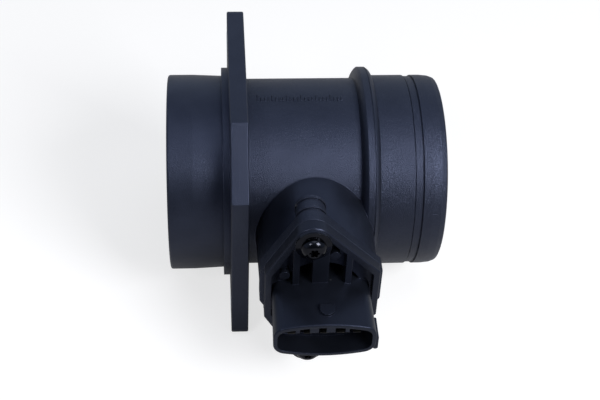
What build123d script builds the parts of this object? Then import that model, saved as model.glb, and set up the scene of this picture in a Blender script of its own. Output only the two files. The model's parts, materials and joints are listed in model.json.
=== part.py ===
from build123d import *
import os

# Mass airflow sensor, millimetres.
# X runs along the air flow from the inlet to the outlet, with X = 0 on the flange's mounting face.
# The sensor head stands on the -Y side, and Z is up.
# Heights on the head are distances from the air axis, so height 66 is the plane Y = -66.

# Air passage and the walls around it.
bore_radius = 35.2
grid_seat_radius = bore_radius + 1.5
grid_seat_depth = 14.0
snap_groove_radius = grid_seat_radius + 0.9
snap_groove_width = 1.5
snap_groove_inset = 2.8

# Tube along the air axis.
inlet_length = 24.4
inlet_radius = bore_radius + 4.8
inlet_root_radius = inlet_radius - 0.5
inlet_straight = 10.0
step_radius = inlet_radius + 2.8
step_width = 2.7
middle_radius = bore_radius + 3.0
outlet_radius = bore_radius + 4.1
bead_start = 51.0
bead_width = 7.3
bead_radius = outlet_radius + 3.5
bead_crest_inset = 2.2
bead_crest_width = 2.4
bead_inlet_flank = 6.0
bead_outlet_flank = 4.0
tube_end = 84.7
band_start = tube_end - 13.0
band_width = 3.6
band_depth = 0.5
line_width = 0.4
line_depth = 0.3
nose_start = tube_end - 5.7
nose_bend = tube_end - 2.3
nose_bend_drop = 0.35
nose_drop = 1.2
spigot_round = 1.0

# Square flange with two corners kept for the bolts and two cut off.
flange_thickness = 6.9
flange_half_side = 48.2
flange_corner_radius = 4.0
flange_corner_cut = 21.8
flange_edge = 0.4
bolt_offset = flange_half_side - 10.4
bush_radius = 5.2
bush_bore_radius = 3.3
bush_proud = 0.15
bush_edge = 0.3

# Tower that carries the sensor head, its top plate and the two screw bosses.
head_x = 33.0
tower_height = 66.0
tower_root_radius = 23.6
tower_root_height = 24.0
tower_top_radius = 22.6
tower_bore_radius = 18.2
tower_lead = 0.8
plate_x = head_x + 0.3
plate_z = 1.2
plate_depth = 5.7
plate_nose_radius = 6.2
plate_half_width = 23.0
plate_side_half = 8.0
plate_corner = 2.2
screw_x = 29.0
upper_screw_z = 29.2
lower_screw_z = 27.2
boss_radius = 5.6
boss_lip = 0.3
boss_groove = 0.4
boss_ring = 0.8
boss_end_height = tower_height - 15.0
boss_end_bevel = 0.9
boss_groove_heights = (tower_height - 12.4, tower_height - 7.2)
boss_web = 4.0
insert_radius = 3.7
insert_length = 10.0
thread_radius = 2.45

# Clearances.
press_gap = 0.02
thread_gap = 0.05
screw_gap = 0.3
plug_gap = 0.3
slide_gap = 0.15
seal_gap = 0.1

# Sensor housing: rim, recess and the plug in the tower.
rim_height = tower_height + 5.2
rim_half_width = 21.4
rim_side_half = 11.7
rim_corner = 1.0
rim_inner_corner = 0.9
rim_wall = 2.5
rim_edge = 0.35
nose_radius = 7.0
screw_boss_radius = 6.5
recess_floor = rim_height - 3.4
pocket_floor = recess_floor - 9.8
pocket_radius = 15.6
washer_seat = rim_height + 1.2
rib_width = 2.4
rib_pitch = 19.4
centre_rib_x = head_x - 0.7
centre_rib_width = 6.0
pip_places = [(head_x - 13.8, 11.6), (head_x + 4.3, 21.6)]
pip_radius = 1.9
pip_height = rim_height - 0.6
plug_radius = tower_bore_radius - plug_gap
plug_end = bore_radius - 1.7
plug_lead = 1.2
seal_height = tower_height - 16.0
seal_width = 2.6
seal_floor_radius = plug_radius - 1.8

# Connector shroud, its cavity, latch catch and coding.
shroud_mouth = tower_height + 26.4
shroud_width = 37.6
shroud_side_depth = 11.9
shroud_crown = 2.65
shroud_corner = 5.0
shroud_draft = 0.5
shroud_wall = 1.5
shroud_lip = 0.5
socket_step_height = shroud_mouth - 8.5
socket_step = 1.3
socket_floor = shroud_mouth - 15.0
latch_x = head_x + 1.0
latch_width = 5.4
latch_end = shroud_mouth - 4.2
latch_length = 5.2
latch_rise = 1.1
lug_end = shroud_mouth - 0.4
lug_length = 9.0
side_lug = 0.9
side_lug_span = 7.0
side_lug_z = -2.0
side_lug_corner = 0.8
key_x = head_x - 1.0
key_inset = 0.5
key_drop = 3.1
key_pitch = 6.0
key_width = 3.2
outer_key_width = 1.5

# Probe that stands in the air stream. Sides of its channel are Y positions.
probe_length = 26.0
probe_half = 7.5
probe_tip = -14.0
probe_nose_radius = 3.0
probe_wall = 2.0
cover_thickness = 1.3
cover_top_height = plug_end - 1.0
cover_split_height = 7.5
cover_low_height = probe_tip + 1.2
bay_floor = -2.4
bay_top_height = plug_end - 2.5
bay_low_height = 9.0
bay_corner = 1.5
channel_floor = -5.0
channel_near = -6.0
channel_far = 2.0
channel_exit = -cover_low_height - 2.8
channel_turn = 7.0
channel_bend = 3.0

# Electronics in the bay.
carrier_thickness = 1.2
carrier_gap = 0.3
board_length = probe_length - 5.0
board_thickness = 0.8
board_top_height = bay_top_height - 2.0
board_low_height = bay_low_height + 4.0
chip_size = 5.0
chip_thickness = 1.0
chip_edge = 0.2
chip_shift = (-3.0, 1.5)
capacitor_size = (1.9, 1.2)
capacitor_height = 0.8
capacitor_pitch = (3.4, 3.0)
capacitor_shift = (5.5, 2.0)
tongue_x = head_x - 6.0
tongue_width = 6.0
tongue_thickness = 0.6
tongue_start = bay_low_height + 3.5
tongue_end = 0.5
tongue_corner = 1.0
element_size = 3.2
element_thickness = 0.4
element_inset = 0.6

# Contact blades: wide and far apart in the socket, narrow and close together at the board.
contact_count = 5
contact_thickness = 0.8
blade_pitch = 6.0
blade_width = 2.8
blade_tip = shroud_mouth - 3.8
blade_point = (0.9, 0.25)
tail_pitch = 4.2
tail_width = 1.5
tail_end = bay_top_height - 4.0
fan_outer = recess_floor - 4.0
fan_inner = recess_floor - 16.0

# Air temperature thermistor in a window on the -Z side of the probe.
window_x = head_x + 6.0
window_length = 6.0
window_height = plug_end - 12.5
window_span = 10.0
window_floor = -4.3
window_corner = 1.0
thermistor_z = -6.0
thermistor_radius = 1.2
lead_size = 0.5
lead_seat = 1.0

# Flow grid and its snap ring.
grid_rim = 2.2
grid_pitch = 6.4
grid_web = 0.8
grid_bars = 10
snap_gap_width = 9.0

# Screw.
screw_shank_radius = thread_radius - thread_gap
screw_point = 0.7
screw_flange_radius = 6.6
screw_flange_edge = 0.7
screw_flange_thickness = 1.1
screw_head_radius = 4.6
screw_head_side = 1.3
screw_head_height = 3.2
screw_dome_radius = 3.4
screw_flat_radius = 2.4
screw_length = insert_length + 5.4
lobe_circle = 1.35
lobe_radius = 0.55
socket_depth = 1.8

head_axis = Axis((head_x, 0, 0), (0, 1, 0))
screw_places = [(screw_x, upper_screw_z), (screw_x, -lower_screw_z)]
bolt_places = [(bolt_offset, bolt_offset), (-bolt_offset, -bolt_offset)]


def head_plane(height):
    """Plane across the head at a distance from the air axis, facing outwards."""
    return Plane.XZ.offset(height)


def head_outline(nose, half_width, side_half, corner, core=0):
    """Six-sided outline across the head, with a round nose about each screw and a round core if given."""
    with BuildSketch() as outline:
        with Locations(*screw_places):
            Circle(nose)
        with Locations((plate_x, plate_z)):
            Rectangle(2 * half_width, 2 * side_half)
        if core:
            with Locations((head_x, 0)):
                Circle(core)
        make_hull(outline.edges())
        across = outline.vertices().group_by(Axis.X)
        fillet(across[0] + across[-1], radius=corner)
    return outline.sketch


# ---------------------------------------------------------------- flow tube
with BuildPart() as flow_tube:
    # Flange first, so that only its own edges are broken.
    with BuildSketch(Plane.YZ) as flange:
        Rectangle(2 * flange_half_side, 2 * flange_half_side)
        corners = flange.vertices()
        cut_corners = [v for v in corners if v.X * v.Y < 0]
        chamfer(cut_corners, length=flange_corner_cut)
        kept_corners = [v for v in flange.vertices() if v.X * v.Y > 0 and abs(abs(v.X) - abs(v.Y)) < 0.1]
        fillet(kept_corners, radius=flange_corner_radius)
    extrude(amount=flange_thickness)
    rims = flow_tube.edges().filter_by_position(Axis.X, -0.1, 0.1)
    rims += flow_tube.edges().filter_by_position(Axis.X, flange_thickness - 0.1, flange_thickness + 0.1)
    chamfer(rims, length=flange_edge)

    # Spigots, step ring, middle tube and hose bead as one turned form.
    bead_end = bead_start + bead_width
    crest_start = bead_start + bead_crest_inset
    crest_end = crest_start + bead_crest_width
    band_end = band_start + band_width
    band_radius = outlet_radius - band_depth
    with BuildSketch(Plane.XY) as outside:
        with BuildLine():
            Polyline(
                (bead_start, middle_radius),
                (flange_thickness / 2, middle_radius),
                (flange_thickness / 2, step_radius),
                (-step_width, step_radius),
                (-step_width, inlet_root_radius),
                (-inlet_length + inlet_straight, inlet_radius),
                (-inlet_length, inlet_radius),
                (-inlet_length, 0),
                (tube_end, 0),
                (tube_end, outlet_radius - nose_drop),
                (nose_bend, outlet_radius - nose_bend_drop),
                (nose_start, outlet_radius),
                (band_end, outlet_radius),
                (band_end, band_radius - line_depth),
                (band_end - line_width, band_radius - line_depth),
                (band_end - line_width, band_radius),
                (band_start + line_width, band_radius),
                (band_start + line_width, band_radius - line_depth),
                (band_start, band_radius - line_depth),
                (band_start, outlet_radius),
                (bead_end, outlet_radius),
            )
            RadiusArc((bead_end, outlet_radius), (crest_end + line_width, bead_radius), -bead_outlet_flank)
            Polyline(
                (crest_end + line_width, bead_radius),
                (crest_end + line_width, bead_radius - line_depth),
                (crest_end, bead_radius - line_depth),
                (crest_end, bead_radius),
                (crest_start, bead_radius),
            )
            RadiusArc((crest_start, bead_radius), (bead_start, middle_radius), -bead_inlet_flank)
        make_face()
        ends = outside.vertices().filter_by_position(Axis.X, -inlet_length - 0.01, -inlet_length + 0.01)
        ends += outside.vertices().filter_by_position(Axis.X, tube_end - 0.01, tube_end + 0.01)
        fillet([v for v in ends if v.Y > bore_radius], radius=spigot_round)
    revolve(axis=Axis.X)

    # Tower with its draft, and the plate that the sensor flange is screwed to.
    with BuildSketch(Plane.XY):
        Polygon(
            (head_x, -tower_root_height),
            (head_x + tower_root_radius, -tower_root_height),
            (head_x + tower_top_radius, -tower_height),
            (head_x, -tower_height),
            align=None,
        )
    revolve(axis=head_axis)
    with BuildSketch(head_plane(tower_height)):
        add(
            head_outline(
                plate_nose_radius,
                plate_half_width,
                plate_side_half,
                plate_corner,
                tower_top_radius,
            )
        )
    extrude(amount=-plate_depth)

    # Turned screw bosses, each with two raised lips and the groove behind each lip.
    plate_base = tower_height - plate_depth
    boss_profile = [
        (0, boss_end_height),
        (boss_radius - boss_end_bevel, boss_end_height),
        (boss_radius, boss_end_height + boss_end_bevel),
    ]
    for groove_height in boss_groove_heights:
        boss_profile += [
            (boss_radius, groove_height - boss_ring),
            (boss_radius + boss_lip, groove_height - boss_ring),
            (boss_radius + boss_lip, groove_height),
            (boss_radius - boss_groove, groove_height),
            (boss_radius - boss_groove, groove_height + boss_ring),
            (boss_radius, groove_height + boss_ring),
        ]
    boss_profile += [(boss_radius, plate_base + boss_ring), (0, plate_base + boss_ring)]
    for place_x, place_z in screw_places:
        with BuildSketch(Plane.XY.offset(place_z)):
            Polygon(*[(place_x + radius, -height) for radius, height in boss_profile], align=None)
        revolve(axis=Axis((place_x, 0, place_z), (0, 1, 0)))
    with BuildSketch(head_plane(boss_end_height + boss_end_bevel)):
        with Locations((screw_x, (upper_screw_z - lower_screw_z) / 2)):
            Rectangle(boss_web, upper_screw_z + lower_screw_z)
    extrude(amount=plate_depth)

    # Air passage, with the seat of the flow grid and its snap groove.
    with BuildSketch(Plane.XY) as passage:
        with BuildLine():
            Polyline(
                (-inlet_length, 0),
                (-inlet_length, grid_seat_radius),
                (-inlet_length + snap_groove_inset, grid_seat_radius),
                (-inlet_length + snap_groove_inset, snap_groove_radius),
                (-inlet_length + snap_groove_inset + snap_groove_width, snap_groove_radius),
                (-inlet_length + snap_groove_inset + snap_groove_width, grid_seat_radius),
                (-inlet_length + grid_seat_depth, grid_seat_radius),
                (-inlet_length + grid_seat_depth, bore_radius),
                (tube_end, bore_radius),
                (tube_end, 0),
                close=True,
            )
        make_face()
    revolve(axis=Axis.X, mode=Mode.SUBTRACT)

    # Bore for the sensor plug, with a lead-in for its seal.
    with BuildSketch(head_plane(0)):
        with Locations((head_x, 0)):
            Circle(tower_bore_radius)
    extrude(amount=tower_height, mode=Mode.SUBTRACT)
    mouth = flow_tube.edges().filter_by(GeomType.CIRCLE)
    mouth = mouth.filter_by_position(Axis.Y, -tower_height - 0.01, -tower_height + 0.01)
    chamfer([e for e in mouth if abs(e.radius - tower_bore_radius) < 0.01], length=tower_lead)

    # Bolt bush seats and the seats of the threaded inserts.
    with BuildSketch(Plane.YZ.offset(-step_width)):
        with Locations(*bolt_places):
            Circle(bush_radius)
    extrude(amount=step_width + flange_thickness, mode=Mode.SUBTRACT)
    with BuildSketch(head_plane(tower_height)):
        with Locations(*screw_places):
            Circle(insert_radius)
    extrude(amount=-insert_length, mode=Mode.SUBTRACT)

flow_tube.part.label = "flow_tube"

# ---------------------------------------------------------------- flange bushes
bushes = []
for index, (bolt_y, bolt_z) in enumerate(bolt_places):
    with BuildPart() as bush:
        with BuildSketch(Plane.YZ.offset(-bush_proud)):
            with Locations((bolt_y, bolt_z)):
                Circle(bush_radius - press_gap)
                Circle(bush_bore_radius, mode=Mode.SUBTRACT)
        extrude(amount=flange_thickness + 2 * bush_proud)
        chamfer(bush.edges().filter_by(GeomType.CIRCLE), length=bush_edge)
    bush.part.label = ("flange_bush_upper", "flange_bush_lower")[index]
    bushes.append(bush.part)

# ---------------------------------------------------------------- flow grid
grid_radius = grid_seat_radius - slide_gap
grid_start = -inlet_length + snap_groove_inset + snap_groove_width
grid_end = -inlet_length + grid_seat_depth

with BuildPart() as flow_grid:
    with BuildSketch(Plane.YZ.offset(grid_start)):
        with GridLocations(grid_pitch, 0, grid_bars, 1):
            Rectangle(grid_web, 2 * grid_radius)
        with GridLocations(0, grid_pitch, 1, grid_bars):
            Rectangle(2 * grid_radius, grid_web)
        Circle(grid_radius - grid_rim / 2, mode=Mode.INTERSECT)
        with BuildSketch(mode=Mode.PRIVATE) as rim_ring:
            Circle(grid_radius)
            Circle(grid_radius - grid_rim, mode=Mode.SUBTRACT)
        add(rim_ring.sketch)
    extrude(amount=grid_end - grid_start)
flow_grid.part.label = "flow_grid"

# Split spring ring that holds the grid in its seat.
with BuildPart() as snap_ring:
    with BuildSketch(Plane.YZ.offset(grid_start - snap_groove_width)):
        Circle(snap_groove_radius - slide_gap)
        Circle(bore_radius, mode=Mode.SUBTRACT)
        with Locations((0, -bore_radius)):
            Rectangle(snap_gap_width, 4 * (snap_groove_radius - bore_radius), mode=Mode.SUBTRACT)
    extrude(amount=snap_groove_width)
snap_ring.part.label = "snap_ring"

# ---------------------------------------------------------------- threaded inserts
inserts = []
for index, (place_x, place_z) in enumerate(screw_places):
    with BuildPart() as insert:
        with BuildSketch(head_plane(tower_height)):
            with Locations((place_x, place_z)):
                Circle(insert_radius - press_gap)
                Circle(thread_radius, mode=Mode.SUBTRACT)
        extrude(amount=-insert_length)
    insert.part.label = ("threaded_insert_upper", "threaded_insert_lower")[index]
    inserts.append(insert.part)

# ---------------------------------------------------------------- sensor housing
probe_start = head_x - probe_length / 2
probe_finish = head_x + probe_length / 2
bay_height = (bay_top_height + bay_low_height) / 2
bay_span = bay_top_height - bay_low_height
bay_length = probe_length - 2 * probe_wall
cover_floor = probe_half - cover_thickness
carrier_top = bay_floor + carrier_thickness
board_top = carrier_top + board_thickness
shroud_half_depth = shroud_side_depth / 2 + shroud_crown


def probe_section():
    """Section of the probe across its length, rounded towards the flow."""
    with BuildSketch() as section:
        with Locations((head_x, 0)):
            RectangleRounded(probe_length, 2 * probe_half, probe_nose_radius)
    return section.sketch


def shroud_outline(inset):
    """Outline of the shroud: flat sides, crowned top and bottom, round corners."""
    half_width = shroud_width / 2 - inset
    half_side = shroud_side_depth / 2 - inset
    with BuildSketch() as outline:
        with BuildLine():
            top = ThreePointArc(
                (head_x - half_width, half_side),
                (head_x, half_side + shroud_crown),
                (head_x + half_width, half_side),
            )
            bottom = mirror(top, about=Plane.XZ)
            Line(top @ 0, bottom @ 0)
            Line(top @ 1, bottom @ 1)
        make_face()
        fillet(outline.vertices(), radius=shroud_corner - inset)
    return outline.sketch


def rib_section():
    """Foot of the shroud and the ribs between it and the rim."""
    with BuildSketch() as section:
        add(shroud_outline(shroud_draft))
        with Locations((head_x, 0)):
            with GridLocations(rib_pitch, 0, 2, 1):
                Rectangle(rib_width, 4 * upper_screw_z)
        with Locations((centre_rib_x, 0)):
            Rectangle(centre_rib_width, 4 * upper_screw_z)
    return section.sketch


def contact_outline(index):
    """Stamped outline of a contact: wide blade, slant, and narrow tail on the board."""
    place = index - (contact_count - 1) / 2
    blade_x = head_x + place * blade_pitch
    tail_x = head_x + place * tail_pitch
    with BuildSketch() as outline:
        with BuildLine():
            Polyline(
                (blade_x - blade_width / 2, -blade_tip),
                (blade_x + blade_width / 2, -blade_tip),
                (blade_x + blade_width / 2, -fan_outer),
                (tail_x + tail_width / 2, -fan_inner),
                (tail_x + tail_width / 2, -tail_end),
                (tail_x - tail_width / 2, -tail_end),
                (tail_x - tail_width / 2, -fan_inner),
                (blade_x - blade_width / 2, -fan_outer),
                close=True,
            )
        make_face()
    return outline.sketch


with BuildPart() as sensor_housing:
    # Sensor flange on the tower's face, with both of its outer edges broken.
    with BuildSketch(head_plane(tower_height)):
        add(head_outline(nose_radius, rim_half_width, rim_side_half, rim_corner))
    extrude(amount=rim_height - tower_height)
    outer_edges = sensor_housing.faces().filter_by(Axis.Y).edges()
    chamfer(outer_edges, length=rim_edge)

    # Recess inside the rim, left solid at the shroud, the ribs and the screw bosses.
    with BuildSketch(head_plane(recess_floor)):
        add(
            head_outline(
                nose_radius - rim_wall,
                rim_half_width - rim_wall,
                rim_side_half - rim_wall / 2,
                rim_inner_corner,
            )
        )
        add(rib_section(), mode=Mode.SUBTRACT)
        with Locations(*screw_places):
            Circle(screw_boss_radius, mode=Mode.SUBTRACT)
    extrude(amount=rim_height - recess_floor, mode=Mode.SUBTRACT)

    # Plug in the tower's bore, with the seal groove.
    with BuildSketch(Plane.XY):
        with BuildLine():
            Polyline(
                (head_x, -plug_end),
                (head_x + plug_radius - plug_lead, -plug_end),
                (head_x + plug_radius, -plug_end - plug_lead),
                (head_x + plug_radius, -seal_height),
                (head_x + seal_floor_radius, -seal_height),
                (head_x + seal_floor_radius, -seal_height - seal_width),
                (head_x + plug_radius, -seal_height - seal_width),
                (head_x + plug_radius, -recess_floor),
                (head_x, -recess_floor),
                close=True,
            )
        make_face()
    revolve(axis=head_axis)

    # Deep cored-out pockets between the ribs, on both sides of the shroud.
    with BuildSketch(head_plane(recess_floor)):
        with Locations((head_x, 0)):
            Circle(pocket_radius)
        add(rib_section(), mode=Mode.SUBTRACT)
    extrude(amount=pocket_floor - recess_floor, mode=Mode.SUBTRACT)

    # Screw bosses in the noses of the flange.
    with BuildSketch(head_plane(tower_height)):
        with Locations(*screw_places):
            Circle(screw_boss_radius)
    extrude(amount=washer_seat - tower_height)

    # Connector shroud, which widens a little towards its mouth.
    with BuildSketch(head_plane(recess_floor)):
        add(shroud_outline(shroud_draft))
    with BuildSketch(head_plane(shroud_mouth)):
        add(shroud_outline(0))
    loft(ruled=True)
    lip = sensor_housing.edges().filter_by_position(Axis.Y, -shroud_mouth - 0.01, -shroud_mouth + 0.01)
    fillet(lip, radius=shroud_lip)

    # Catch for the plug's latch, and the guide lug on the side.
    latch_centre = (latch_x, -latch_end + latch_width / 2)
    with BuildSketch(Plane.XY.offset(shroud_half_depth - shroud_wall)):
        with Locations(latch_centre):
            Circle(latch_width / 2)
        with Locations((latch_x, -latch_end + (latch_length + latch_width / 2) / 2)):
            Rectangle(latch_width, latch_length - latch_width / 2)
    extrude(amount=shroud_wall + latch_rise)
    with BuildSketch(head_plane(lug_end)):
        with Locations((head_x + shroud_width / 2, side_lug_z)):
            RectangleRounded(2 * side_lug, side_lug_span, side_lug_corner)
    extrude(amount=-lug_length)

    # Socket in the shroud, stepped in near its floor, and the coding ribs under its top wall.
    with BuildSketch(head_plane(socket_floor)):
        add(shroud_outline(shroud_wall + socket_step))
    extrude(amount=socket_step_height - socket_floor, mode=Mode.SUBTRACT)
    with BuildSketch(head_plane(socket_step_height)):
        add(shroud_outline(shroud_wall))
    extrude(amount=shroud_mouth - socket_step_height, mode=Mode.SUBTRACT)
    with BuildSketch(head_plane(socket_step_height)):
        with Locations((key_x, shroud_half_depth - shroud_wall)):
            with GridLocations(key_pitch, 0, 2, 1):
                Rectangle(key_width, 2 * key_drop)
            with GridLocations(3 * key_pitch, 0, 2, 1):
                Rectangle(outer_key_width, 2 * key_drop)
        add(shroud_outline(shroud_wall / 2 + shroud_draft), mode=Mode.INTERSECT)
    extrude(amount=shroud_mouth - key_inset - socket_step_height)

    # Round pips that stand in the recess.
    with BuildSketch(head_plane(recess_floor)):
        with Locations(*pip_places):
            Circle(pip_radius)
    extrude(amount=pip_height - recess_floor)

    # Probe below the plug.
    with BuildSketch(head_plane(probe_tip)):
        add(probe_section())
    extrude(amount=plug_end - probe_tip)

    # Step for the two covers, then the electronics bay.
    with BuildSketch(Plane.XY.offset(cover_floor)):
        with Locations((head_x, -(cover_top_height + cover_low_height) / 2)):
            Rectangle(2 * probe_length, cover_top_height - cover_low_height)
    extrude(amount=probe_half, mode=Mode.SUBTRACT)
    with BuildSketch(Plane.XY.offset(bay_floor)):
        with Locations((head_x, -bay_height)):
            RectangleRounded(bay_length, bay_span, bay_corner)
    extrude(amount=cover_floor - bay_floor, mode=Mode.SUBTRACT)

    # Air channel: in at the upstream face, past the element, round a bend and out downstream.
    channel_back = probe_finish - probe_wall
    with BuildSketch(Plane.XY.offset(channel_floor)) as channel:
        with BuildLine():
            Polyline(
                (probe_start - probe_wall, channel_near),
                (channel_back, channel_near),
                (channel_back, channel_exit - channel_turn),
                (probe_finish + probe_wall, channel_exit - channel_turn),
                (probe_finish + probe_wall, channel_exit),
                (channel_back - channel_turn, channel_exit),
                (channel_back - channel_turn, channel_far),
                (probe_start - probe_wall, channel_far),
                close=True,
            )
        make_face()
        inner_corners = channel.vertices().filter_by_position(Axis.X, probe_start, probe_finish)
        outer_bend = inner_corners.filter_by_position(Axis.Y, channel_near - 0.1, channel_near + 0.1)
        exit_bend = inner_corners.filter_by_position(Axis.Y, channel_exit - 0.1, channel_exit + 0.1)
        fillet(outer_bend + exit_bend, radius=channel_bend)
    extrude(amount=cover_floor - channel_floor, mode=Mode.SUBTRACT)

    # Slot for the element's tongue and the seats of the contacts.
    with BuildSketch(Plane.XY.offset(carrier_top)):
        with Locations((tongue_x, -(bay_low_height - channel_near) / 2)):
            Rectangle(tongue_width, bay_low_height + channel_near)
    extrude(amount=tongue_thickness, mode=Mode.SUBTRACT)
    for index in range(contact_count):
        with BuildSketch(Plane.XY.offset(board_top)):
            add(contact_outline(index))
        extrude(amount=contact_thickness, mode=Mode.SUBTRACT)

    # Window of the thermistor, with the seats of its leads.
    with BuildSketch(Plane.XY.offset(window_floor)):
        with Locations((window_x, -window_height)):
            RectangleRounded(window_length, window_span, window_corner)
    extrude(amount=-probe_half - window_floor, mode=Mode.SUBTRACT)
    with BuildSketch(Plane.XY.offset(thermistor_z - lead_size / 2)):
        with Locations((window_x, -window_height)):
            Rectangle(lead_size, window_span + 2 * lead_seat)
    extrude(amount=lead_size, mode=Mode.SUBTRACT)

    # Screw holes through the bosses.
    with BuildSketch(head_plane(tower_height)):
        with Locations(*screw_places):
            Circle(thread_radius + screw_gap)
    extrude(amount=washer_seat - tower_height, mode=Mode.SUBTRACT)
sensor_housing.part.label = "sensor_housing"

# ---------------------------------------------------------------- probe covers
covers = []
cover_bands = [
    ("electronics_cover", cover_top_height - slide_gap, cover_split_height + slide_gap / 2),
    ("channel_cover", cover_split_height - slide_gap / 2, cover_low_height + slide_gap),
]
for cover_name, high, low in cover_bands:
    with BuildPart() as cover:
        with BuildSketch(head_plane(low)):
            add(probe_section())
            with Locations((head_x, cover_floor - probe_half)):
                Rectangle(2 * probe_length, 2 * probe_half, mode=Mode.SUBTRACT)
        extrude(amount=high - low)
    cover.part.label = cover_name
    covers.append(cover.part)

# ---------------------------------------------------------------- electronics
with BuildPart() as carrier_plate:
    with BuildSketch(Plane.XY.offset(bay_floor)):
        with Locations((head_x, -bay_height)):
            RectangleRounded(
                bay_length - 2 * carrier_gap,
                bay_span - 2 * carrier_gap,
                bay_corner - carrier_gap,
            )
    extrude(amount=carrier_thickness)
carrier_plate.part.label = "carrier_plate"

board_height = (board_top_height + board_low_height) / 2
with BuildPart() as circuit_board:
    with BuildSketch(Plane.XY.offset(carrier_top)):
        with Locations((head_x, -board_height)):
            Rectangle(board_length, board_top_height - board_low_height)
    extrude(amount=board_thickness)
circuit_board.part.label = "circuit_board"

with BuildPart() as control_chip:
    with BuildSketch(Plane.XY.offset(board_top)):
        with Locations((head_x + chip_shift[0], -board_height + chip_shift[1])):
            Rectangle(chip_size, chip_size)
    extrude(amount=chip_thickness)
    chamfer(control_chip.faces().sort_by(Axis.Z)[-1].edges(), length=chip_edge)
control_chip.part.label = "control_chip"

# Two rows of small ceramic capacitors beside the chip.
with BuildPart() as chip_capacitors:
    with BuildSketch(Plane.XY.offset(board_top)):
        with Locations((head_x + capacitor_shift[0], -board_height + capacitor_shift[1])):
            with GridLocations(capacitor_pitch[0], capacitor_pitch[1], 2, 3):
                Rectangle(capacitor_size[0], capacitor_size[1])
    extrude(amount=capacitor_height)
chip_capacitors.part.label = "chip_capacitors"

with BuildPart() as element_tongue:
    with BuildSketch(Plane.XY.offset(carrier_top)) as tongue:
        with Locations((tongue_x, -(tongue_start + tongue_end) / 2)):
            Rectangle(tongue_width, tongue_start - tongue_end)
        fillet(tongue.vertices().group_by(Axis.Y)[-1], radius=tongue_corner)
    extrude(amount=tongue_thickness)
element_tongue.part.label = "element_tongue"

with BuildPart() as sensor_element:
    with BuildSketch(Plane.XY.offset(carrier_top + tongue_thickness)):
        with Locations((tongue_x, -tongue_end - element_size / 2 - element_inset)):
            Rectangle(element_size, element_size)
    extrude(amount=element_thickness)
sensor_element.part.label = "sensor_element"

with BuildPart() as thermistor:
    with BuildSketch(Plane.XY.offset(thermistor_z - lead_size / 2)):
        with Locations((window_x, -window_height)):
            Rectangle(lead_size, window_span + 2 * lead_seat)
    extrude(amount=lead_size)
    with Locations((window_x, -window_height, thermistor_z)):
        Sphere(thermistor_radius)
thermistor.part.label = "air_thermistor"

# ---------------------------------------------------------------- contacts
contacts = []
for index in range(contact_count):
    with BuildPart() as contact:
        with BuildSketch(Plane.XY.offset(board_top)):
            add(contact_outline(index))
        extrude(amount=contact_thickness)
        tip = contact.faces().sort_by(Axis.Y)[0]
        chamfer(tip.edges().filter_by(Axis.X), length=blade_point[1], length2=blade_point[0], reference=tip)
    contact.part.label = f"contact_{index + 1}"
    contacts.append(contact.part)

# ---------------------------------------------------------------- seal
with BuildPart() as plug_seal:
    seal_middle_radius = (tower_bore_radius + seal_floor_radius) / 2
    with BuildSketch(Plane.XY):
        with Locations((head_x + seal_middle_radius, -seal_height - seal_width / 2)):
            Circle((tower_bore_radius - seal_floor_radius) / 2 - seal_gap)
    revolve(axis=head_axis)
plug_seal.part.label = "plug_seal"

# ---------------------------------------------------------------- screws
screw_tip = washer_seat - screw_length
screw_flange_top = washer_seat + screw_flange_thickness
screw_top = screw_flange_top + screw_head_height
screws = []
for index, (place_x, place_z) in enumerate(screw_places):
    with BuildPart() as screw:
        with BuildSketch(Plane.XY.offset(place_z)):
            with BuildLine():
                Polyline(
                    (place_x, -screw_top),
                    (place_x, -screw_tip),
                    (place_x + screw_shank_radius - screw_point, -screw_tip),
                    (place_x + screw_shank_radius, -screw_tip - screw_point),
                    (place_x + screw_shank_radius, -washer_seat),
                    (place_x + screw_flange_radius, -washer_seat),
                    (place_x + screw_flange_radius, -washer_seat - screw_flange_edge),
                    (place_x + screw_head_radius, -screw_flange_top),
                    (place_x + screw_head_radius, -screw_flange_top - screw_head_side),
                )
                RadiusArc(
                    (place_x + screw_head_radius, -screw_flange_top - screw_head_side),
                    (place_x + screw_flat_radius, -screw_top),
                    screw_dome_radius,
                )
                Line((place_x + screw_flat_radius, -screw_top), (place_x, -screw_top))
            make_face()
        revolve(axis=Axis((place_x, 0, place_z), (0, 1, 0)))
        with BuildSketch(head_plane(screw_top)):
            with Locations((place_x, place_z)):
                Circle(lobe_circle)
                with PolarLocations(lobe_circle, 6):
                    Circle(lobe_radius)
        extrude(amount=-socket_depth, mode=Mode.SUBTRACT)
    screw.part.label = ("flange_screw_upper", "flange_screw_lower")[index]
    screws.append(screw.part)

# ---------------------------------------------------------------- files
os.makedirs("parts", exist_ok=True)
single_pieces = [
    flow_tube,
    flow_grid,
    snap_ring,
    sensor_housing,
    carrier_plate,
    circuit_board,
    control_chip,
    chip_capacitors,
    element_tongue,
    sensor_element,
    thermistor,
    plug_seal,
]
finished = [piece.part for piece in single_pieces] + bushes + inserts + covers + contacts + screws
for shape in finished:
    export_step(shape, f"parts/{shape.label}.step")
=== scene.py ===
import json
from math import cos, radians, sin

import bmesh
import bpy
from mathutils import Matrix, Vector
from mathutils.geometry import convex_hull_2d


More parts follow.
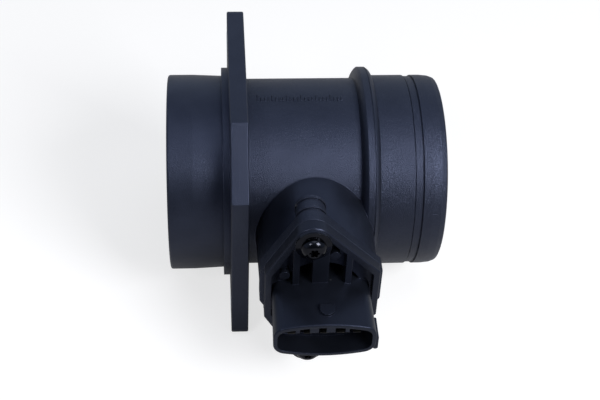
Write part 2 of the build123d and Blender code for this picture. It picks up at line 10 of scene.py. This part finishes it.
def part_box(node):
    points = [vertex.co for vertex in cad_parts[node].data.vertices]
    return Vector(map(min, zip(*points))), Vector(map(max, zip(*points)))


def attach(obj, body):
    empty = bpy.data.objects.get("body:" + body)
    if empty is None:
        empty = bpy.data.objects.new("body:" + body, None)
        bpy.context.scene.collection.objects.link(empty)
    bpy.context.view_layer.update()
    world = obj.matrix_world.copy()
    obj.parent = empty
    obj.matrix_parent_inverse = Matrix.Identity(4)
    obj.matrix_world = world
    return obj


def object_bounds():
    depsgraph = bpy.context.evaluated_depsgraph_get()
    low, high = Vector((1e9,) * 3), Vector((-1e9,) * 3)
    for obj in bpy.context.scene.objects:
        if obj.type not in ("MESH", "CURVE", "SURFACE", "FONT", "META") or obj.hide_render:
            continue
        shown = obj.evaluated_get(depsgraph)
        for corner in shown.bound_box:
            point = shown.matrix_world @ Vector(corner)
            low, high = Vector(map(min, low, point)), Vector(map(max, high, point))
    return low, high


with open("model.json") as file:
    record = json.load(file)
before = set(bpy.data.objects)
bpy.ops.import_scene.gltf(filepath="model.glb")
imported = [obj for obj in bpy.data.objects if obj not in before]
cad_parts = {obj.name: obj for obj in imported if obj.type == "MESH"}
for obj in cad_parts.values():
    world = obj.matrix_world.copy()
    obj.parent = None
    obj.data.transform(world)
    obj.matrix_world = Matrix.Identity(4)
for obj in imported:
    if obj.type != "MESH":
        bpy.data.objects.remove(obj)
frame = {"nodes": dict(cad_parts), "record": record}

# The frame is the CAD frame in metres: X along the air flow, -Y towards the connector, Z up.
# Angles round the tube run upwards from the connector's side, so that 90 degrees is its top.
CAD_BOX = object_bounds()
NODES = frame["nodes"]
MM = 0.001

# ---------------------------------------------------------------- places read from the frame
TUBE_LOW, TUBE_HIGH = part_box("flow_tube")
TUBE_END = TUBE_HIGH.x
TOWER_FACE = TUBE_LOW.y

# ---------------------------------------------------------------- places on the solids that no box gives
MIDDLE_RADIUS = 38.2 * MM
TOWER_AXIS = (33.0 * MM, 0, 0)
# Ranges over which the tube's grain sets in: outwards through the tower's wall, along Y behind the
# tower's root, and along X behind the mounting flange.
TOWER_WALL = (23.5 * MM, 24.0 * MM)
TOWER_ROOT = (-28 * MM, -24 * MM)
FLANGE_BACK = (7.0 * MM, 7.5 * MM)
# Upper screw boss, with two raised lips; each lip's outer side lies this deep below the tower's face.
BOSS_X = 29.0 * MM
BOSS_Z = 29.2 * MM
LIP_RADIUS = 5.9 * MM
LIP_WIDTH = 0.8 * MM
LIP_DEPTHS = (12.4 * MM, 7.2 * MM)
# Chamfer of the sensor flange's edge, next to the tower's face.
HEAD_EDGE = 0.35 * MM

# ---------------------------------------------------------------- camera, fitted to the photograph
ELEVATION = radians(43.5)
AZIMUTH = radians(3.98)
ROLL = radians(0.865)
AIM = (21.8 * MM, 0, 0)
SHIFT_RIGHT = 7.72 * MM
SHIFT_UP = -12.27 * MM
DISTANCE = 509 * MM
# Blender takes these two in millimetres.
SENSOR_WIDTH = 36.0
LENS = 73.32

# ---------------------------------------------------------------- light
WHITE = (1.0, 1.0, 1.0)
LAMP_AIM = (0.03, -0.02, 0.0)
# Each lamp: name, place, size, power in watts, colour.
LAMPS = (
    ("key", (0.48, -0.55, 0.59), (0.36, 0.36), 7.6, WHITE),
    ("left", (-0.40, -0.55, 0.62), (0.2, 0.2), 1.4, WHITE),
    ("top", (0.15, -0.12, 0.97), (0.8, 0.5), 1.45, (0.95, 0.97, 1.0)),
)
# What the backdrop lights is cooler and weaker than what the camera sees of it. Its strength falls
# towards the front, over this range of the cosine to the room's direction.
ROOM_DIRECTION = (0, -0.995, 0.1)
ROOM_EDGE = (0.45, 0.95)
ROOM_STRENGTH = 0.25
ROOM_COLOR = (0.66, 0.78, 1.0)
MIRRORED_WORLD = 0.6
PLAIN_WORLD = 0.14
FLOOR_HALF = 3.0
FLOOR_COLOR = (0.42, 0.42, 0.43)
# The floor glows for the camera, more with the distance from the object, and less in reflections.
FLOOR_FADE = (0.15, 1.3)
FLOOR_GLOW_NEAR = 0.7
FLOOR_GLOW_FAR = 0.95
MIRRORED_FLOOR = 0.2

# ---------------------------------------------------------------- finishes
# Tint of the dark mouldings' reflections, which are a cool blue in the photograph.
COOL = (0.54, 0.63, 1.0)
# Specks of dust: their colour, the share of cells that hold one and its soft edge within the cell.
DUST_COLOR = (0.09, 0.095, 0.11)
DUST_SHARE = 0.05
DUST_EDGE = (0.05, 0.13)

TUBE_COLOR = (0.0064, 0.0076, 0.0118)
TUBE_ROUGH = (0.34, 0.4)
# Relief of the tube's grain, and how much of it is left on the tower and on the mounting flange.
GRAIN_DEPTH = 0.15 * MM
SAND_SHARE = 0.7
PIT_SHARE = 0.5
TOWER_GRAIN = 0.12
FLANGE_GRAIN = 0.4
# Slow waves in a plastic's surface, as a share of the depth of its grain.
WAVE_SHARE = 0.8

# Roughness runs from the first value to the second; grain is in cells per metre.
PLASTICS = {
    "head_plastic": dict(
        color=(0.005, 0.006, 0.0092), rough=(0.31, 0.38), grain=1600, depth=0.02 * MM,
        specular=0.39, tint=COOL, edge=0.32 * MM, dusty=True,
    ),
    # Thin lines on edges, lighter than the housing they lie on: a painted highlight along those edges.
    "flash_painted_highlight": dict(
        color=(0.02, 0.023, 0.034), rough=(0.3, 0.4), grain=2500, depth=0.01 * MM,
        specular=0.6, tint=COOL, dusty=True,
    ),
    "cover_plastic": dict(
        color=(0.01, 0.011, 0.014), rough=(0.38, 0.5), grain=1800, depth=0.03 * MM, specular=0.4,
    ),
    "grid_plastic": dict(
        color=(0.013, 0.014, 0.017), rough=(0.4, 0.5), grain=1800, depth=0.03 * MM,
        specular=0.4, edge=0.1 * MM,
    ),
    "board_ceramic": dict(
        color=(0.75, 0.75, 0.7), rough=(0.5, 0.6), grain=1800, depth=0.01 * MM, edge=0.05 * MM,
    ),
    "chip_resin": dict(
        color=(0.02, 0.02, 0.02), rough=(0.4, 0.5), grain=1800, depth=0.01 * MM, edge=0.05 * MM,
    ),
    "capacitor_ceramic": dict(
        color=(0.45, 0.32, 0.2), rough=(0.4, 0.5), grain=1800, depth=0.01 * MM, edge=0.05 * MM,
    ),
    "thermistor_resin": dict(
        color=(0.06, 0.04, 0.03), rough=(0.15, 0.25), grain=1200, depth=0.01 * MM, edge=0.05 * MM,
    ),
    "seal_rubber": dict(
        color=(0.015, 0.015, 0.015), rough=(0.5, 0.65), grain=1500, depth=0.02 * MM, specular=0.4,
    ),
}

METALS = {
    "spring_steel": dict(color=(0.42, 0.42, 0.44), rough=(0.25, 0.4)),
    "bush_steel": dict(color=(0.5, 0.5, 0.51), rough=(0.3, 0.45)),
    "insert_brass": dict(color=(0.72, 0.5, 0.22), rough=(0.25, 0.4)),
    "screw_steel": dict(color=(0.02, 0.021, 0.026), rough=(0.1, 0.17)),
    # Contacts near-black, far darker than their tin: painted shade of the socket's inside.
    "contact_metal": dict(color=(0.04, 0.039, 0.038), rough=(0.4, 0.5)),
    "carrier_metal": dict(color=(0.7, 0.7, 0.72), rough=(0.3, 0.45)),
    "tongue_steel": dict(color=(0.58, 0.58, 0.6), rough=(0.3, 0.45)),
    "element_silicon": dict(color=(0.12, 0.13, 0.17), rough=(0.08, 0.15)),
}

# ---------------------------------------------------------------- marking ticks on top of the tube
TICK_FIRST_X = 11.4 * MM
TICK_LAST_X = 44.6 * MM
TICK_COUNT = 24
TICKS_PER_LONG = 4
TICK_LOW_ANGLE = radians(87.6)
TICK_HIGH_ANGLE = radians(91.8)
TICK_LONG_ANGLE = radians(93.9)
TICK_HALF_WIDTH = 0.36 * MM
TICK_RISE = 0.34 * MM
TICK_ROOT = -0.05 * MM
TICK_STEPS = 6
# A tick's crest as a share of its foot, and its foot at the tips as a share of the foot elsewhere.
TICK_CREST_SHARE = 0.55
TICK_TIP_SHARE = 0.5

# ---------------------------------------------------------------- flash lines and glints, drawn lighter as painted highlights
HEAD_FLASH_RADIUS = 0.11 * MM
# How far a vertex may lie from the flash's level and still count as part of that edge.
SAME_LEVEL = 0.02 * MM
LIP_HIGHLIGHT_RADIUS = 0.08 * MM
LIP_HIGHLIGHT_ANGLES = range(25, 156, 10)
NOSE_FLASH_RADIUS = 0.09 * MM
NOSE_FLASH_ANGLE = radians(14.8)
NOSE_FLASH_REACH = 39.25 * MM
NOSE_FLASH_INSETS = (6.0 * MM, 4.8 * MM, 3.7 * MM)
# Painted glint: a light sliver on the ledge at the sensor flange's corner.
LEDGE_GLINT_RADIUS = 0.12 * MM
LEDGE_GLINT_X = (54.4 * MM, 55.0 * MM, 55.7 * MM)
LEDGE_GLINT_Z = 9.0 * MM
LEDGE_GLINT_RISE = 0.02 * MM


# ---------------------------------------------------------------- camera and lamps
def make_camera():
    """Camera at the photograph's viewing angle: from above and from the connector's side."""
    across = Vector((1, 0, 0))
    away = Vector((0, cos(ELEVATION), -sin(ELEVATION)))
    upward = Vector((0, sin(ELEVATION), cos(ELEVATION)))
    right_level = cos(AZIMUTH) * across - sin(AZIMUTH) * away
    forward = sin(AZIMUTH) * across + cos(AZIMUTH) * away
    right = cos(ROLL) * right_level - sin(ROLL) * upward
    up = sin(ROLL) * right_level + cos(ROLL) * upward
    place = Vector(AIM) + SHIFT_RIGHT * right + SHIFT_UP * up - DISTANCE * forward
    data = bpy.data.cameras.new("view")
    data.sensor_width = SENSOR_WIDTH
    data.lens = LENS
    data.clip_start = 0.01
    data.clip_end = 20.0
    camera = bpy.data.objects.new("view", data)
    turn = Matrix((right, up, -forward)).transposed().to_4x4()
    camera.matrix_world = Matrix.Translation(place) @ turn
    bpy.context.scene.collection.objects.link(camera)
    bpy.context.scene.camera = camera


def area_lamp(name, place, size, power, color):
    """Soft rectangular lamp that faces the object."""
    data = bpy.data.lights.new(name, "AREA")
    data.shape = "RECTANGLE"
    data.size, data.size_y = size
    data.energy = power
    data.color = color
    lamp = bpy.data.objects.new(name, data)
    lamp.location = place
    towards = Vector(LAMP_AIM) - lamp.location
    lamp.rotation_euler = towards.to_track_quat("-Z", "Y").to_euler()
    bpy.context.scene.collection.objects.link(lamp)


# ---------------------------------------------------------------- node trees
class Graph:
    """Node tree of a material or of the world, with short calls for what it is built from."""

    def __init__(self, owner):
        owner.use_nodes = True
        self.tree = owner.node_tree

    def node(self, kind, **values):
        """New node; a value goes to the input of that name, or else to the setting of that name."""
        made = self.tree.nodes.new(kind)
        for key, value in values.items():
            if key in made.inputs:
                made.inputs[key].default_value = value
            else:
                setattr(made, key, value)
        return made

    def link(self, out, into):
        self.tree.links.new(out, into)

    def math(self, operation, first, second):
        """Result of an operation on two values, each a number or another node's output."""
        made = self.node("ShaderNodeMath", operation=operation)
        for place, value in enumerate((first, second)):
            if isinstance(value, (int, float)):
                made.inputs[place].default_value = value
            else:
                self.link(value, made.inputs[place])
        return made.outputs[0]

    def spread(self, value, low, high, low_in=0.3, high_in=0.7, kind="LINEAR"):
        """Value moved from the range low_in to high_in into the range low to high."""
        made = self.node("ShaderNodeMapRange", interpolation_type=kind)
        made.inputs["From Min"].default_value = low_in
        made.inputs["From Max"].default_value = high_in
        made.inputs["To Min"].default_value = low
        made.inputs["To Max"].default_value = high
        self.link(value, made.inputs["Value"])
        return made.outputs["Result"]

    def mix(self, factor, first, second):
        """Colour between two others, each three numbers or another node's output."""
        made = self.node("ShaderNodeMix", data_type="RGBA")
        for key, color in (("A", first), ("B", second)):
            if isinstance(color, (tuple, list)):
                made.inputs[key].default_value = (*color, 1)
            else:
                self.link(color, made.inputs[key])
        self.link(factor, made.inputs["Factor"])
        return made.outputs["Result"]

    def backdrop_rays(self):
        """Two masks: rays that see the backdrop directly or through glass, and mirror-like rays."""
        path = self.node("ShaderNodeLightPath")
        seen = self.math("MAXIMUM", path.outputs["Is Camera Ray"], path.outputs["Is Transmission Ray"])
        return seen, path.outputs["Is Glossy Ray"]


def make_world():
    """White backdrop; what it lights is cooler and dims towards the front, where the room is."""
    world = bpy.data.worlds.new("studio")
    graph = Graph(world)
    graph.tree.nodes.clear()
    towards = graph.node("ShaderNodeVectorMath", operation="DOT_PRODUCT")
    graph.link(graph.node("ShaderNodeTexCoord").outputs["Generated"], towards.inputs[0])
    towards.inputs[1].default_value = ROOM_DIRECTION
    dim = graph.spread(towards.outputs["Value"], 1.0, ROOM_STRENGTH, *ROOM_EDGE, "SMOOTHSTEP")
    seen, mirrored = graph.backdrop_rays()
    share = graph.math("MAXIMUM", graph.math("MULTIPLY", mirrored, MIRRORED_WORLD), PLAIN_WORLD)
    strength = graph.math("MAXIMUM", graph.math("MULTIPLY", dim, share), seen)
    light = graph.node("ShaderNodeBackground")
    graph.link(graph.mix(seen, ROOM_COLOR, WHITE), light.inputs["Color"])
    graph.link(strength, light.inputs["Strength"])
    graph.link(light.outputs[0], graph.node("ShaderNodeOutputWorld").inputs["Surface"])
    bpy.context.scene.world = world


def floor_material():
    """Pale floor that keeps the shadow near the object and runs out into the white backdrop."""
    material = bpy.data.materials.new("floor")
    graph = Graph(material)
    graph.tree.nodes.clear()
    diffuse = graph.node("ShaderNodeBsdfDiffuse", Color=(*FLOOR_COLOR, 1))
    lift = graph.node("ShaderNodeEmission", Color=(*WHITE, 1))
    seen, mirrored = graph.backdrop_rays()
    glow = graph.math("MAXIMUM", seen, graph.math("MULTIPLY", mirrored, MIRRORED_FLOOR))
    far = graph.node("ShaderNodeVectorMath", operation="LENGTH")
    graph.link(graph.node("ShaderNodeTexCoord").outputs["Object"], far.inputs[0])
    fade = graph.spread(
        far.outputs["Value"], FLOOR_GLOW_NEAR, FLOOR_GLOW_FAR, *FLOOR_FADE, "SMOOTHSTEP"
    )
    graph.link(graph.math("MULTIPLY", glow, fade), lift.inputs["Strength"])
    total = graph.node("ShaderNodeAddShader")
    graph.link(diffuse.outputs[0], total.inputs[0])
    graph.link(lift.outputs[0], total.inputs[1])
    graph.link(total.outputs[0], graph.node("ShaderNodeOutputMaterial").inputs["Surface"])
    return material


def make_floor():
    """Large level plane that touches the object's lowest place."""
    low = CAD_BOX[0][2]
    corners = [(x * FLOOR_HALF, y * FLOOR_HALF, low) for x, y in ((-1, -1), (1, -1), (1, 1), (-1, 1))]
    mesh = bpy.data.meshes.new("floor")
    mesh.from_pydata(corners, [], [(0, 1, 2, 3)])
    mesh.materials.append(floor_material())
    floor = bpy.data.objects.new("floor", mesh)
    bpy.context.scene.collection.objects.link(floor)


# ---------------------------------------------------------------- materials
class Finish(Graph):
    """One procedural material, built up from a few named layers."""

    def __init__(self, name, color, roughness, metallic=0.0, specular=0.5, tint=WHITE):
        self.material = bpy.data.materials.new(name)
        super().__init__(self.material)
        self.shader = self.tree.nodes["Principled BSDF"]
        self.shader.inputs["Base Color"].default_value = (*color, 1)
        self.shader.inputs["Roughness"].default_value = roughness
        self.shader.inputs["Metallic"].default_value = metallic
        self.shader.inputs["Specular IOR Level"].default_value = specular
        self.shader.inputs["Specular Tint"].default_value = (*tint, 1)
        self.place = self.node("ShaderNodeTexCoord").outputs["Object"]
        self.color = color
        self.normal = None

    def noise(self, scale, detail=2.0, rough=0.5):
        """Noise over the object's own coordinates; scale is in cells per metre."""
        made = self.node("ShaderNodeTexNoise", Scale=scale, Detail=detail, Roughness=rough)
        self.link(self.place, made.inputs["Vector"])
        return made.outputs["Fac"]

    def cells(self, scale):
        """Rounded cells, as a spark-eroded mould leaves."""
        made = self.node("ShaderNodeTexVoronoi", feature="SMOOTH_F1", Scale=scale, Smoothness=0.6)
        self.link(self.place, made.inputs["Vector"])
        return made.outputs["Distance"]

    def dust(self, scale):
        """Mask of sparse small specks: the middles of a few cells."""
        made = self.node("ShaderNodeTexVoronoi", Scale=scale)
        self.link(self.place, made.inputs["Vector"])
        middle = self.spread(made.outputs["Distance"], 1.0, 0.0, *DUST_EDGE)
        split = self.node("ShaderNodeSeparateColor")
        self.link(made.outputs["Color"], split.inputs[0])
        chosen = self.math("LESS_THAN", split.outputs[0], DUST_SHARE)
        return self.math("MULTIPLY", middle, chosen)

    def axis(self, letter):
        """One of the object's own coordinates."""
        split = self.node("ShaderNodeSeparateXYZ")
        self.link(self.place, split.inputs[0])
        return split.outputs[letter]

    def away_from_tower(self):
        """0 on the smooth turned tower, 1 on the grained tube around it."""
        shift = self.node("ShaderNodeVectorMath", operation="SUBTRACT")
        shift.inputs[1].default_value = TOWER_AXIS
        self.link(self.place, shift.inputs[0])
        flat = self.node("ShaderNodeVectorMath", operation="MULTIPLY")
        flat.inputs[1].default_value = (1, 0, 1)
        self.link(shift.outputs[0], flat.inputs[0])
        far = self.node("ShaderNodeVectorMath", operation="LENGTH")
        self.link(flat.outputs[0], far.inputs[0])
        outside = self.spread(far.outputs["Value"], 0, 1, *TOWER_WALL)
        behind = self.spread(self.axis("Y"), 0, 1, *TOWER_ROOT)
        return self.math("MAXIMUM", outside, behind)

    def shade(self, value, low, high, specks=None):
        """Colour that wanders between two multiples of the base colour, with lighter specks of dust."""
        darker = [part * low for part in self.color]
        lighter = [part * high for part in self.color]
        result = self.mix(self.spread(value, 0, 1), darker, lighter)
        if specks is not None:
            result = self.mix(specks, result, DUST_COLOR)
        self.link(result, self.shader.inputs["Base Color"])

    def rough(self, value, low, high):
        """Roughness that wanders between two values."""
        self.link(self.spread(value, low, high), self.shader.inputs["Roughness"])

    def round_edges(self, radius):
        """Small moulded radius on every edge, seen in the shading."""
        made = self.node("ShaderNodeBevel", samples=6, Radius=radius)
        self.normal = made.outputs["Normal"]
        self.link(self.normal, self.shader.inputs["Normal"])

    def bump(self, value, depth, strength=None):
        """Relief of a real depth in metres, laid over the relief before it."""
        made = self.node("ShaderNodeBump", Distance=depth, Strength=1.0)
        if strength is not None:
            self.link(strength, made.inputs["Strength"])
        self.link(value, made.inputs["Height"])
        self.link(self.normal, made.inputs["Normal"])
        self.normal = made.outputs["Normal"]
        self.link(self.normal, self.shader.inputs["Normal"])


def tube_plastic():
    """Glass-filled black plastic off a spark-eroded mould, smoother on the tower and the flange."""
    finish = Finish("tube_plastic", TUBE_COLOR, sum(TUBE_ROUGH) / 2, specular=0.6, tint=COOL)
    specks = finish.dust(scale=170)
    finish.shade(finish.noise(scale=120, detail=4), low=0.75, high=1.3, specks=specks)
    finish.rough(finish.noise(scale=70, detail=3), *TUBE_ROUGH)
    finish.round_edges(radius=0.3 * MM)
    finish.bump(finish.noise(scale=250), depth=0.02 * MM)
    sand = finish.math("MULTIPLY", finish.noise(scale=3200, detail=1), SAND_SHARE)
    pits = finish.math("MULTIPLY", finish.cells(scale=4400), PIT_SHARE)
    off_tower = finish.spread(finish.away_from_tower(), TOWER_GRAIN, 1.0, 0, 1)
    past_flange = finish.spread(finish.axis("X"), FLANGE_GRAIN, 1.0, *FLANGE_BACK)
    strength = finish.math("MULTIPLY", off_tower, past_flange)
    finish.bump(finish.math("ADD", sand, pits), depth=GRAIN_DEPTH, strength=strength)
    return finish.material


def plastic(name, color, rough, grain, depth, specular=0.5, tint=WHITE, edge=0.2 * MM, dusty=False):
    """Moulded plastic, rubber or resin: wandering tone and gloss, slight waves and a fine grain."""
    finish = Finish(name, color, sum(rough) / 2, specular=specular, tint=tint)
    specks = finish.dust(scale=220) if dusty else None
    finish.shade(finish.noise(scale=120, detail=4), low=0.8, high=1.25, specks=specks)
    finish.rough(finish.noise(scale=60, detail=3), *rough)
    finish.round_edges(edge)
    finish.bump(finish.noise(scale=300), depth=depth * WAVE_SHARE)
    finish.bump(finish.noise(scale=grain, detail=3, rough=0.6), depth=depth)
    return finish.material


def metal(name, color, rough):
    """Plain metal with a slightly uneven gloss."""
    finish = Finish(name, color, sum(rough) / 2, metallic=1.0)
    finish.shade(finish.noise(scale=400, detail=4), low=0.85, high=1.12)
    finish.rough(finish.noise(scale=900, detail=3), *rough)
    finish.round_edges(radius=0.12 * MM)
    finish.bump(finish.noise(scale=2500), depth=0.01 * MM)
    return finish.material


def make_materials():
    """Every finish by its name, which is also its material slot in the record."""
    materials = {"tube_plastic": tube_plastic()}
    for name, values in PLASTICS.items():
        materials[name] = plastic(name, **values)
    for name, values in METALS.items():
        materials[name] = metal(name, **values)
    return materials


def dress_nodes(materials):
    """Give each CAD node the finish of its material slot in the record."""
    slots = {part["node"]: part["material_slot"] for part in frame["record"]["subparts"]}
    for name, node in NODES.items():
        for place in node.material_slots:
            place.material = materials[slots[name]]


# ---------------------------------------------------------------- details on the mouldings
def add_piece(name, data, material):
    """New piece of the object, riding with the solids."""
    data.materials.append(material)
    piece = bpy.data.objects.new(name, data)
    bpy.context.scene.collection.objects.link(piece)
    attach(piece, "root")


def raised_bar(build, x, low, high):
    """Bar with sloping sides and ends, across the top of the tube from one angle to another."""
    def on_tube(offset, angle, height):
        reach = MIDDLE_RADIUS + height
        return build.verts.new((x + offset, -reach * cos(angle), reach * sin(angle)))

    rings = []
    for step in range(TICK_STEPS + 1):
        angle = low + (high - low) * (step / TICK_STEPS)
        tip = step in (0, TICK_STEPS)
        foot = TICK_HALF_WIDTH * (TICK_TIP_SHARE if tip else 1)
        crest = foot * TICK_CREST_SHARE
        rise = 0 if tip else TICK_RISE
        outline = ((-foot, TICK_ROOT), (-crest, rise), (crest, rise), (foot, TICK_ROOT))
        rings.append([on_tube(offset, angle, height) for offset, height in outline])
    for before, after in zip(rings, rings[1:]):
        for place in range(len(before)):
            other = (place + 1) % len(before)
            build.faces.new((before[place], before[other], after[other], after[place]))
    build.faces.new(rings[0])
    build.faces.new(list(reversed(rings[-1])))


def marking_ticks(material):
    """Row of plain raised ticks on top of the tube, where a moulding carries its marking."""
    build = bmesh.new()
    for index in range(TICK_COUNT):
        x = TICK_FIRST_X + (TICK_LAST_X - TICK_FIRST_X) * index / (TICK_COUNT - 1)
        long = index % TICKS_PER_LONG == 0
        raised_bar(build, x, TICK_LOW_ANGLE, TICK_LONG_ANGLE if long else TICK_HIGH_ANGLE)
    bmesh.ops.recalc_face_normals(build, faces=build.faces)
    mesh = bpy.data.meshes.new("marking_ticks")
    build.to_mesh(mesh)
    build.free()
    add_piece("marking_ticks", mesh, material)


def thin_lines(name, lines, radius, material, closed=False):
    """Fine raised lines, each through its own row of places, drawn lighter as painted highlights on
    edges.
    """
    curve = bpy.data.curves.new(name, "CURVE")
    curve.dimensions = "3D"
    curve.bevel_depth = radius
    curve.bevel_resolution = 1
    for points in lines:
        line = curve.splines.new("POLY")
        line.points.add(len(points) - 1)
        for place, point in zip(line.points, points):
            place.co = (*point, 1)
        line.use_cyclic_u = closed
    add_piece(name, curve, material)


def flange_flash_highlight(material):
    """Parting line where the two mould halves met round the sensor flange's edge, lighter: a painted
    highlight.
    """
    level = TOWER_FACE - HEAD_EDGE
    edge = [v.co for v in NODES["sensor_housing"].data.vertices if abs(v.co.y - level) < SAME_LEVEL]
    flat = [Vector((co.x, co.z)) for co in edge]
    ring = [flat[index] for index in convex_hull_2d(flat)]
    points = [(place.x, level, place.y) for place in ring]
    thin_lines("flange_flash_highlight", [points], HEAD_FLASH_RADIUS, material, closed=True)


def boss_lip_highlight(material):
    """Sharp crests on both edges of the raised lips of the upper screw boss, drawn lighter as painted
    highlights.
    """
    turns = [radians(angle) for angle in LIP_HIGHLIGHT_ANGLES]
    arc = [(BOSS_X + LIP_RADIUS * cos(turn), BOSS_Z + LIP_RADIUS * sin(turn)) for turn in turns]
    lines = []
    for depth in LIP_DEPTHS:
        for y in (TOWER_FACE + depth + LIP_WIDTH, TOWER_FACE + depth):
            lines.append([(x, y, z) for x, z in arc])
    thin_lines("boss_lip_highlight", lines, LIP_HIGHLIGHT_RADIUS, material)


def nose_flash_highlight(material):
    """Short sliver of flash across the outlet's nose, drawn lighter as a painted highlight."""
    y = -NOSE_FLASH_REACH * cos(NOSE_FLASH_ANGLE)
    z = NOSE_FLASH_REACH * sin(NOSE_FLASH_ANGLE)
    points = [(TUBE_END - inset, y, z) for inset in NOSE_FLASH_INSETS]
    thin_lines("nose_flash_highlight", [points], NOSE_FLASH_RADIUS, material)


def ledge_glint(material):
    """Short light sliver on the ledge beside the sensor flange: a painted glint at the ledge's corner.
    """
    points = [(x, TOWER_FACE - LEDGE_GLINT_RISE, LEDGE_GLINT_Z) for x in LEDGE_GLINT_X]
    thin_lines("ledge_glint", [points], LEDGE_GLINT_RADIUS, material)


make_camera()
make_world()
make_floor()
for lamp in LAMPS:
    area_lamp(*lamp)
materials = make_materials()
dress_nodes(materials)
marking_ticks(materials["tube_plastic"])
# Thin lines lighter than the mouldings: painted highlights along edges, partly on real flash.
for make_highlight_line in (flange_flash_highlight, boss_lip_highlight, nose_flash_highlight, ledge_glint):
    make_highlight_line(materials["flash_painted_highlight"])
bpy.context.scene.view_settings.view_transform = "Standard"
